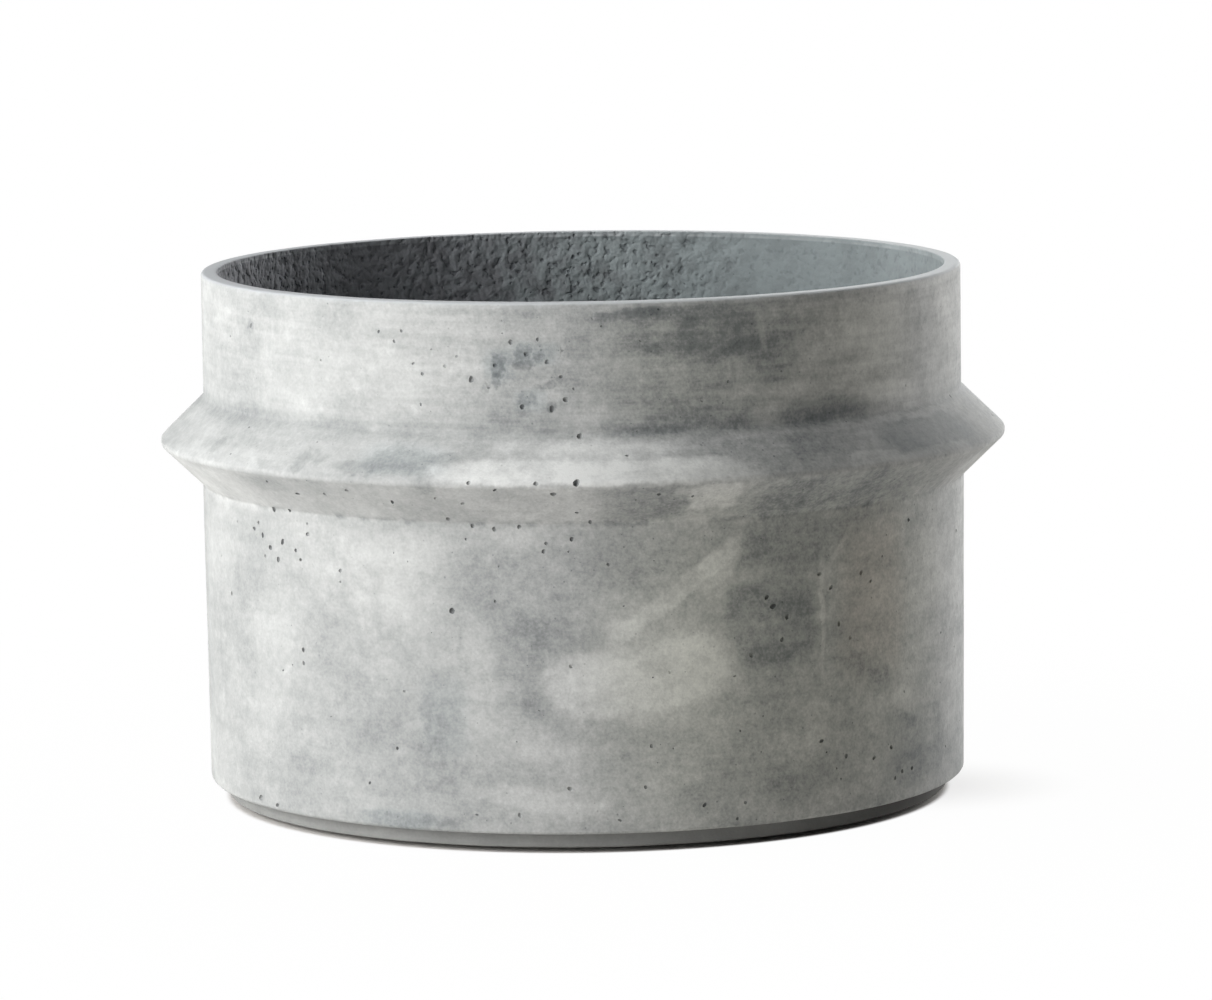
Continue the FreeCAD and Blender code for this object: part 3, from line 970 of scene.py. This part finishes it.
def seal_mortar():
    """Fine mortar: warm pale grey, clouded, with sandy specks."""
    darker_shade = (0.24, 0.236, 0.222, 1)
    paler_shade = (0.74, 0.725, 0.68, 1)
    material, tree, shader, place = material_tree("seal_mortar")
    tone = around_zero(tree, noise(tree, place, grain=20 * MM, detail=3, seed=21.0), strength=0.5)
    tone = add(tree, tone, around_zero(tree, noise(tree, place, grain=1.0 * MM, seed=22.0), strength=0.35))
    shade = mix_colour(tree, add(tree, tone, 0.5), darker_shade, paler_shade)
    tree.links.new(shade, shader.inputs["Base Color"])
    shader.inputs["Roughness"].default_value = 0.92
    shader.inputs["Specular IOR Level"].default_value = 0.25
    sand = noise(tree, place, grain=0.8 * MM, detail=3, roughness=0.6, seed=23.0)
    add_relief(tree, shader, sand, strength=0.6, depth=0.3 * MM)
    return material


seal = section_object("corner_seal_trowelled", [
    (inner_radius - seal_leg, seal_low.z, 0, seal_spacing),
    (inner_radius, seal_low.z, 0, seal_spacing),
    (inner_radius, seal_high.z, 0, seal_face_spacing),
])
dress(seal, turned_piece, {
    "Segments": 300,
    "Wear": 0.9 * MM,
    "Wear grain": 14 * MM,
    "Seed": 9.0,
    "Material": seal_mortar(),
})
settle(seal)
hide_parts("corner_seal")
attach(seal, "planter")


# Drain sleeve
# A short tube of grey plastic, set up before the slab was poured, with a collar that the concrete grips.
# It forms the drain hole.
sleeve_low, sleeve_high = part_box("drain_sleeve")
bore_radius = 11 * MM
sleeve_lip = 0.5 * MM
sleeve_spacing = 4 * MM


def sleeve_plastic():
    """Extruded grey plastic: fine lines along the tube and a little cement film."""
    plastic_shade = (0.165, 0.172, 0.180, 1)
    film_shade = (0.36, 0.36, 0.345, 1)
    film_start = 0.45
    film_full = 0.72
    line_stretch = (1.0, 1.0, 0.05)
    material, tree, shader, place = material_tree("sleeve_plastic")
    film = noise(tree, place, grain=5 * MM, detail=4, roughness=0.6, seed=31.0)
    shade = mix_colour(tree, fade(tree, film, film_start, film_full), plastic_shade, film_shade)
    tree.links.new(shade, shader.inputs["Base Color"])
    tree.links.new(fade(tree, film, film_start, film_full, low=0.42, high=0.8), shader.inputs["Roughness"])
    lines = calculate_vector(tree, "MULTIPLY", place, line_stretch)
    draw = noise(tree, lines, grain=0.7 * MM, seed=32.0)
    add_relief(tree, shader, draw, strength=0.25, depth=0.1 * MM)
    return material


sleeve = section_object("drain_sleeve_tube", [
    (bore_radius, sleeve_high.z, sleeve_lip, sleeve_spacing),
    (bore_radius, sleeve_low.z, sleeve_lip, sleeve_spacing),
    (sleeve_radius, sleeve_low.z, sleeve_lip, sleeve_spacing),
    (sleeve_radius, slab_middle - collar_height / 2, 0, sleeve_spacing),
    (collar_radius, slab_middle - collar_height / 2, 0, sleeve_spacing),
    (collar_radius, slab_middle + collar_height / 2, 0, sleeve_spacing),
    (sleeve_radius, slab_middle + collar_height / 2, 0, sleeve_spacing),
    (sleeve_radius, sleeve_high.z, sleeve_lip, sleeve_spacing),
])
dress(sleeve, turned_piece, {"Segments": 96, "Material": sleeve_plastic()})
settle(sleeve)
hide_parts("drain_sleeve")
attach(sleeve, "planter")


# Drain plug
# A bung moulded from black rubber: a tapered stem that wedges into the sleeve, a thin head that lies on the
# slab, and a knob on a narrow neck to pull it by.
plug_low, plug_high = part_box("drain_plug")
plug_head_radius = plug_high.y
plug_head_top = slab_top + 3 * MM
plug_knob_base = plug_head_top + 3 * MM
plug_spacing = 2 * MM
stem_tip_radius = 9.9 * MM
stem_radius = 10.7 * MM
neck_radius = 4 * MM
neck_rounding = 0.9 * MM
knob_radius = 6.5 * MM
stem_tip_rounding = 0.8 * MM
head_base_rounding = 0.6 * MM
head_top_rounding = 1.2 * MM
knob_base_rounding = 1.2 * MM
knob_top_rounding = 2 * MM


def plug_rubber():
    """Moulded black rubber: matt, with a grey bloom in patches."""
    rubber_shade = (0.014, 0.014, 0.014, 1)
    bloom_shade = (0.052, 0.051, 0.049, 1)
    bloom_start = 0.4
    bloom_full = 0.75
    material, tree, shader, place = material_tree("plug_rubber")
    bloom = noise(tree, place, grain=6 * MM, detail=5, roughness=0.6, seed=41.0)
    shade = mix_colour(tree, fade(tree, bloom, bloom_start, bloom_full), rubber_shade, bloom_shade)
    tree.links.new(shade, shader.inputs["Base Color"])
    tree.links.new(fade(tree, bloom, bloom_start, bloom_full, low=0.5, high=0.75), shader.inputs["Roughness"])
    grain = noise(tree, place, grain=0.5 * MM, detail=2, seed=42.0)
    add_relief(tree, shader, grain, strength=0.2, depth=0.1 * MM)
    return material


plug = section_object("drain_plug_bung", [
    (0, plug_low.z, 0, plug_spacing),
    (stem_tip_radius, plug_low.z, stem_tip_rounding, plug_spacing),
    (stem_radius, slab_top, 0, plug_spacing),
    (plug_head_radius, slab_top, head_base_rounding, plug_spacing),
    (plug_head_radius, plug_head_top, head_top_rounding, plug_spacing),
    (neck_radius, plug_head_top, neck_rounding, plug_spacing),
    (neck_radius, plug_knob_base, neck_rounding, plug_spacing),
    (knob_radius, plug_knob_base, knob_base_rounding, plug_spacing),
    (knob_radius, plug_high.z, knob_top_rounding, plug_spacing),
    (0, plug_high.z, 0, plug_spacing),
], closed=False)
dress(plug, turned_piece, {"Segments": 96, "Material": plug_rubber()})
settle(plug)
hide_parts("drain_plug")
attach(plug, "plug")


# Floor pads
# Four squares cut from black rubber sheet, with rounded corners, glued under the slab on the diagonals.
# They keep the wet concrete off a finished floor.
pad_count = 4
pad_side = 40 * MM
pad_corner = 3 * MM
pad_edge = 0.4 * MM


def pad_rubber():
    """Cut rubber sheet: black, matt, with a fine grain and a dusty grey bloom."""
    rubber_shade = (0.012, 0.012, 0.012, 1)
    dust_shade = (0.06, 0.058, 0.055, 1)
    bloom_start = 0.4
    bloom_full = 0.75
    material, tree, shader, place = material_tree("pad_rubber")
    bloom = noise(tree, place, grain=9 * MM, detail=5, roughness=0.6, seed=51.0)
    shade = mix_colour(tree, fade(tree, bloom, bloom_start, bloom_full), rubber_shade, dust_shade)
    tree.links.new(shade, shader.inputs["Base Color"])
    tree.links.new(fade(tree, bloom, bloom_start, bloom_full, low=0.55, high=0.8), shader.inputs["Roughness"])
    grain = noise(tree, place, grain=0.6 * MM, detail=2, seed=52.0)
    add_relief(tree, shader, grain, strength=0.3, depth=0.1 * MM)
    return material


def pad_mesh(name, centre, thickness, turn):
    """A square of sheet with rounded corners and eased edges, turned and moved to its place."""
    shape = bmesh.new()
    size = Matrix.Diagonal((pad_side, pad_side, thickness, 1))
    bmesh.ops.create_cube(shape, size=1, matrix=size)
    uprights = [edge for edge in shape.edges if abs(edge.verts[0].co.z - edge.verts[1].co.z) > pad_edge]
    bmesh.ops.bevel(shape, geom=uprights, offset=pad_corner, segments=6, profile=0.5, affect="EDGES")
    outline = [edge for edge in shape.edges if abs(edge.verts[0].co.z - edge.verts[1].co.z) < pad_edge]
    bmesh.ops.bevel(shape, geom=outline, offset=pad_edge, segments=2, profile=0.5, affect="EDGES")
    shape.transform(Matrix.Translation(centre) @ Matrix.Rotation(turn, 4, "Z"))
    mesh = bpy.data.meshes.new(name)
    shape.to_mesh(mesh)
    shape.free()
    return mesh


sheet_rubber = pad_rubber()
for number in range(1, pad_count + 1):
    pad_low, pad_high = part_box(f"floor_pad_{number}")
    pad_turn = math.tau / pad_count * (number - 0.5)
    mesh = pad_mesh(f"floor_pad_{number}_cut", (pad_low + pad_high) / 2, pad_high.z - pad_low.z, pad_turn)
    mesh.materials.append(sheet_rubber)
    pad = bpy.data.objects.new(mesh.name, mesh)
    bpy.context.scene.collection.objects.link(pad)
    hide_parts(f"floor_pad_{number}")
    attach(pad, "planter")


# Floor and light
# A white studio floor without a horizon, and three soft lamps: one low on the left, one higher on the left
# and one behind on the right.
half_floor = 15.0


def seen_share(tree):
    """1 for what is seen, also in a mirror or through glass, and 0 for what only lights other things."""
    path = add_node(tree, "ShaderNodeLightPath", {}).outputs
    seen = calculate(tree, "MAXIMUM", path["Is Camera Ray"], path["Is Glossy Ray"])
    return calculate(tree, "MAXIMUM", seen, path["Is Transmission Ray"])


def floor_white():
    """White to the camera, darker only where the planter keeps the light off: under it, and on the right."""
    shadow_middle = (0.16, -0.01, 0)
    shadow_reach = 0.08
    shadow_light = 0.74
    near_reach = 0.2
    far_reach = 0.6
    near_light = 0.985
    contact_width = 2 * MM
    material, tree, shader, place = material_tree("floor_white")
    shader.inputs["Base Color"].default_value = (0.9, 0.87, 0.84, 1)
    shader.inputs["Roughness"].default_value = 0.9
    shader.inputs["Specular IOR Level"].default_value = 0.0
    glow = add_node(tree, "ShaderNodeEmission", {"Color": (1, 1, 1, 1), "Strength": 1.0}).outputs[0]
    from_shadow = calculate_vector(tree, "SUBTRACT", place, shadow_middle)
    radius = radius_of(tree, place)
    shadow_side = fade(tree, radius_of(tree, from_shadow), 0.0, shadow_reach, low=shadow_light)
    around = fade(tree, radius, near_reach, far_reach, low=near_light)
    beside = fade(tree, radius, inner_radius - contact_width, inner_radius + contact_width)
    share = multiply(tree, seen_share(tree), shadow_side, around, beside)
    surface = add_node(tree, "ShaderNodeMixShader", {0: share, 1: shader.outputs[0], 2: glow}).outputs[0]
    tree.links.new(surface, tree.nodes["Material Output"].inputs["Surface"])
    return material


floor_mesh = bpy.data.meshes.new("floor")
floor_sides = (-half_floor, half_floor)
floor_corners = [(across, away, 0) for away in floor_sides for across in floor_sides]
floor_mesh.from_pydata(floor_corners, [], [(0, 1, 3, 2)])
floor_mesh.materials.append(floor_white())
floor = bpy.data.objects.new("floor", floor_mesh)
bpy.context.scene.collection.objects.link(floor)


def add_lamp(name, azimuth, elevation, distance, width, height, watts):
    """A flat soft lamp, turned to the planter. Azimuth 0 is the camera's side and 90 is the right."""
    data = bpy.data.lights.new(name, "AREA")
    data.shape = "RECTANGLE"
    data.size = width
    data.size_y = height
    data.energy = watts
    lamp = bpy.data.objects.new(name, data)
    turn = Matrix.Rotation(math.radians(azimuth), 4, "Z")
    tilt = Matrix.Rotation(math.radians(90 - elevation), 4, "X")
    middle = Matrix.Translation((0, 0, rim_height / 2))
    lamp.matrix_world = middle @ turn @ tilt @ Matrix.Translation((0, 0, distance))
    lamp.visible_camera = False
    bpy.context.scene.collection.objects.link(lamp)


add_lamp("key_lamp", azimuth=-62, elevation=12, distance=2.0, width=2.0, height=1.4, watts=45)
add_lamp("high_lamp", azimuth=-70, elevation=40, distance=2.0, width=2.0, height=1.4, watts=21)
add_lamp("back_lamp", azimuth=139, elevation=12, distance=2.0, width=1.8, height=1.4, watts=49)

sky_light = 0.02
world = bpy.data.worlds.new("studio")
bpy.context.scene.world = world
world.use_nodes = True
sky = world.node_tree
sky_strength = fade(sky, seen_share(sky), 0.0, 1.0, low=sky_light)
sky.links.new(sky_strength, sky.nodes["Background"].inputs["Strength"])
sky.nodes["Background"].inputs["Color"].default_value = (1, 1, 1, 1)


# Camera
# A long lens, three metres away and about 0.3 m above the rim, as in the photograph. It looks slightly down
# and is rolled by less than a degree. Angles are in radians.
camera_place = Vector((0, -3.0400, 0.54213))
camera_tilt = 0.132219
camera_pan = 0.003449
camera_roll = -0.0141188
lens_length = 191.70
sensor_width = 36
camera_data = bpy.data.cameras.new("camera")
camera_data.sensor_fit = "HORIZONTAL"
camera_data.sensor_width = sensor_width
camera_data.lens = lens_length
camera = bpy.data.objects.new("camera", camera_data)
look = Matrix.Rotation(-camera_pan, 4, "Z") @ Matrix.Rotation(math.radians(90) - camera_tilt, 4, "X")
camera.matrix_world = Matrix.Translation(camera_place) @ look @ Matrix.Rotation(camera_roll, 4, "Z")
bpy.context.scene.collection.objects.link(camera)
bpy.context.scene.camera = camera
bpy.context.scene.view_settings.view_transform = "Standard"
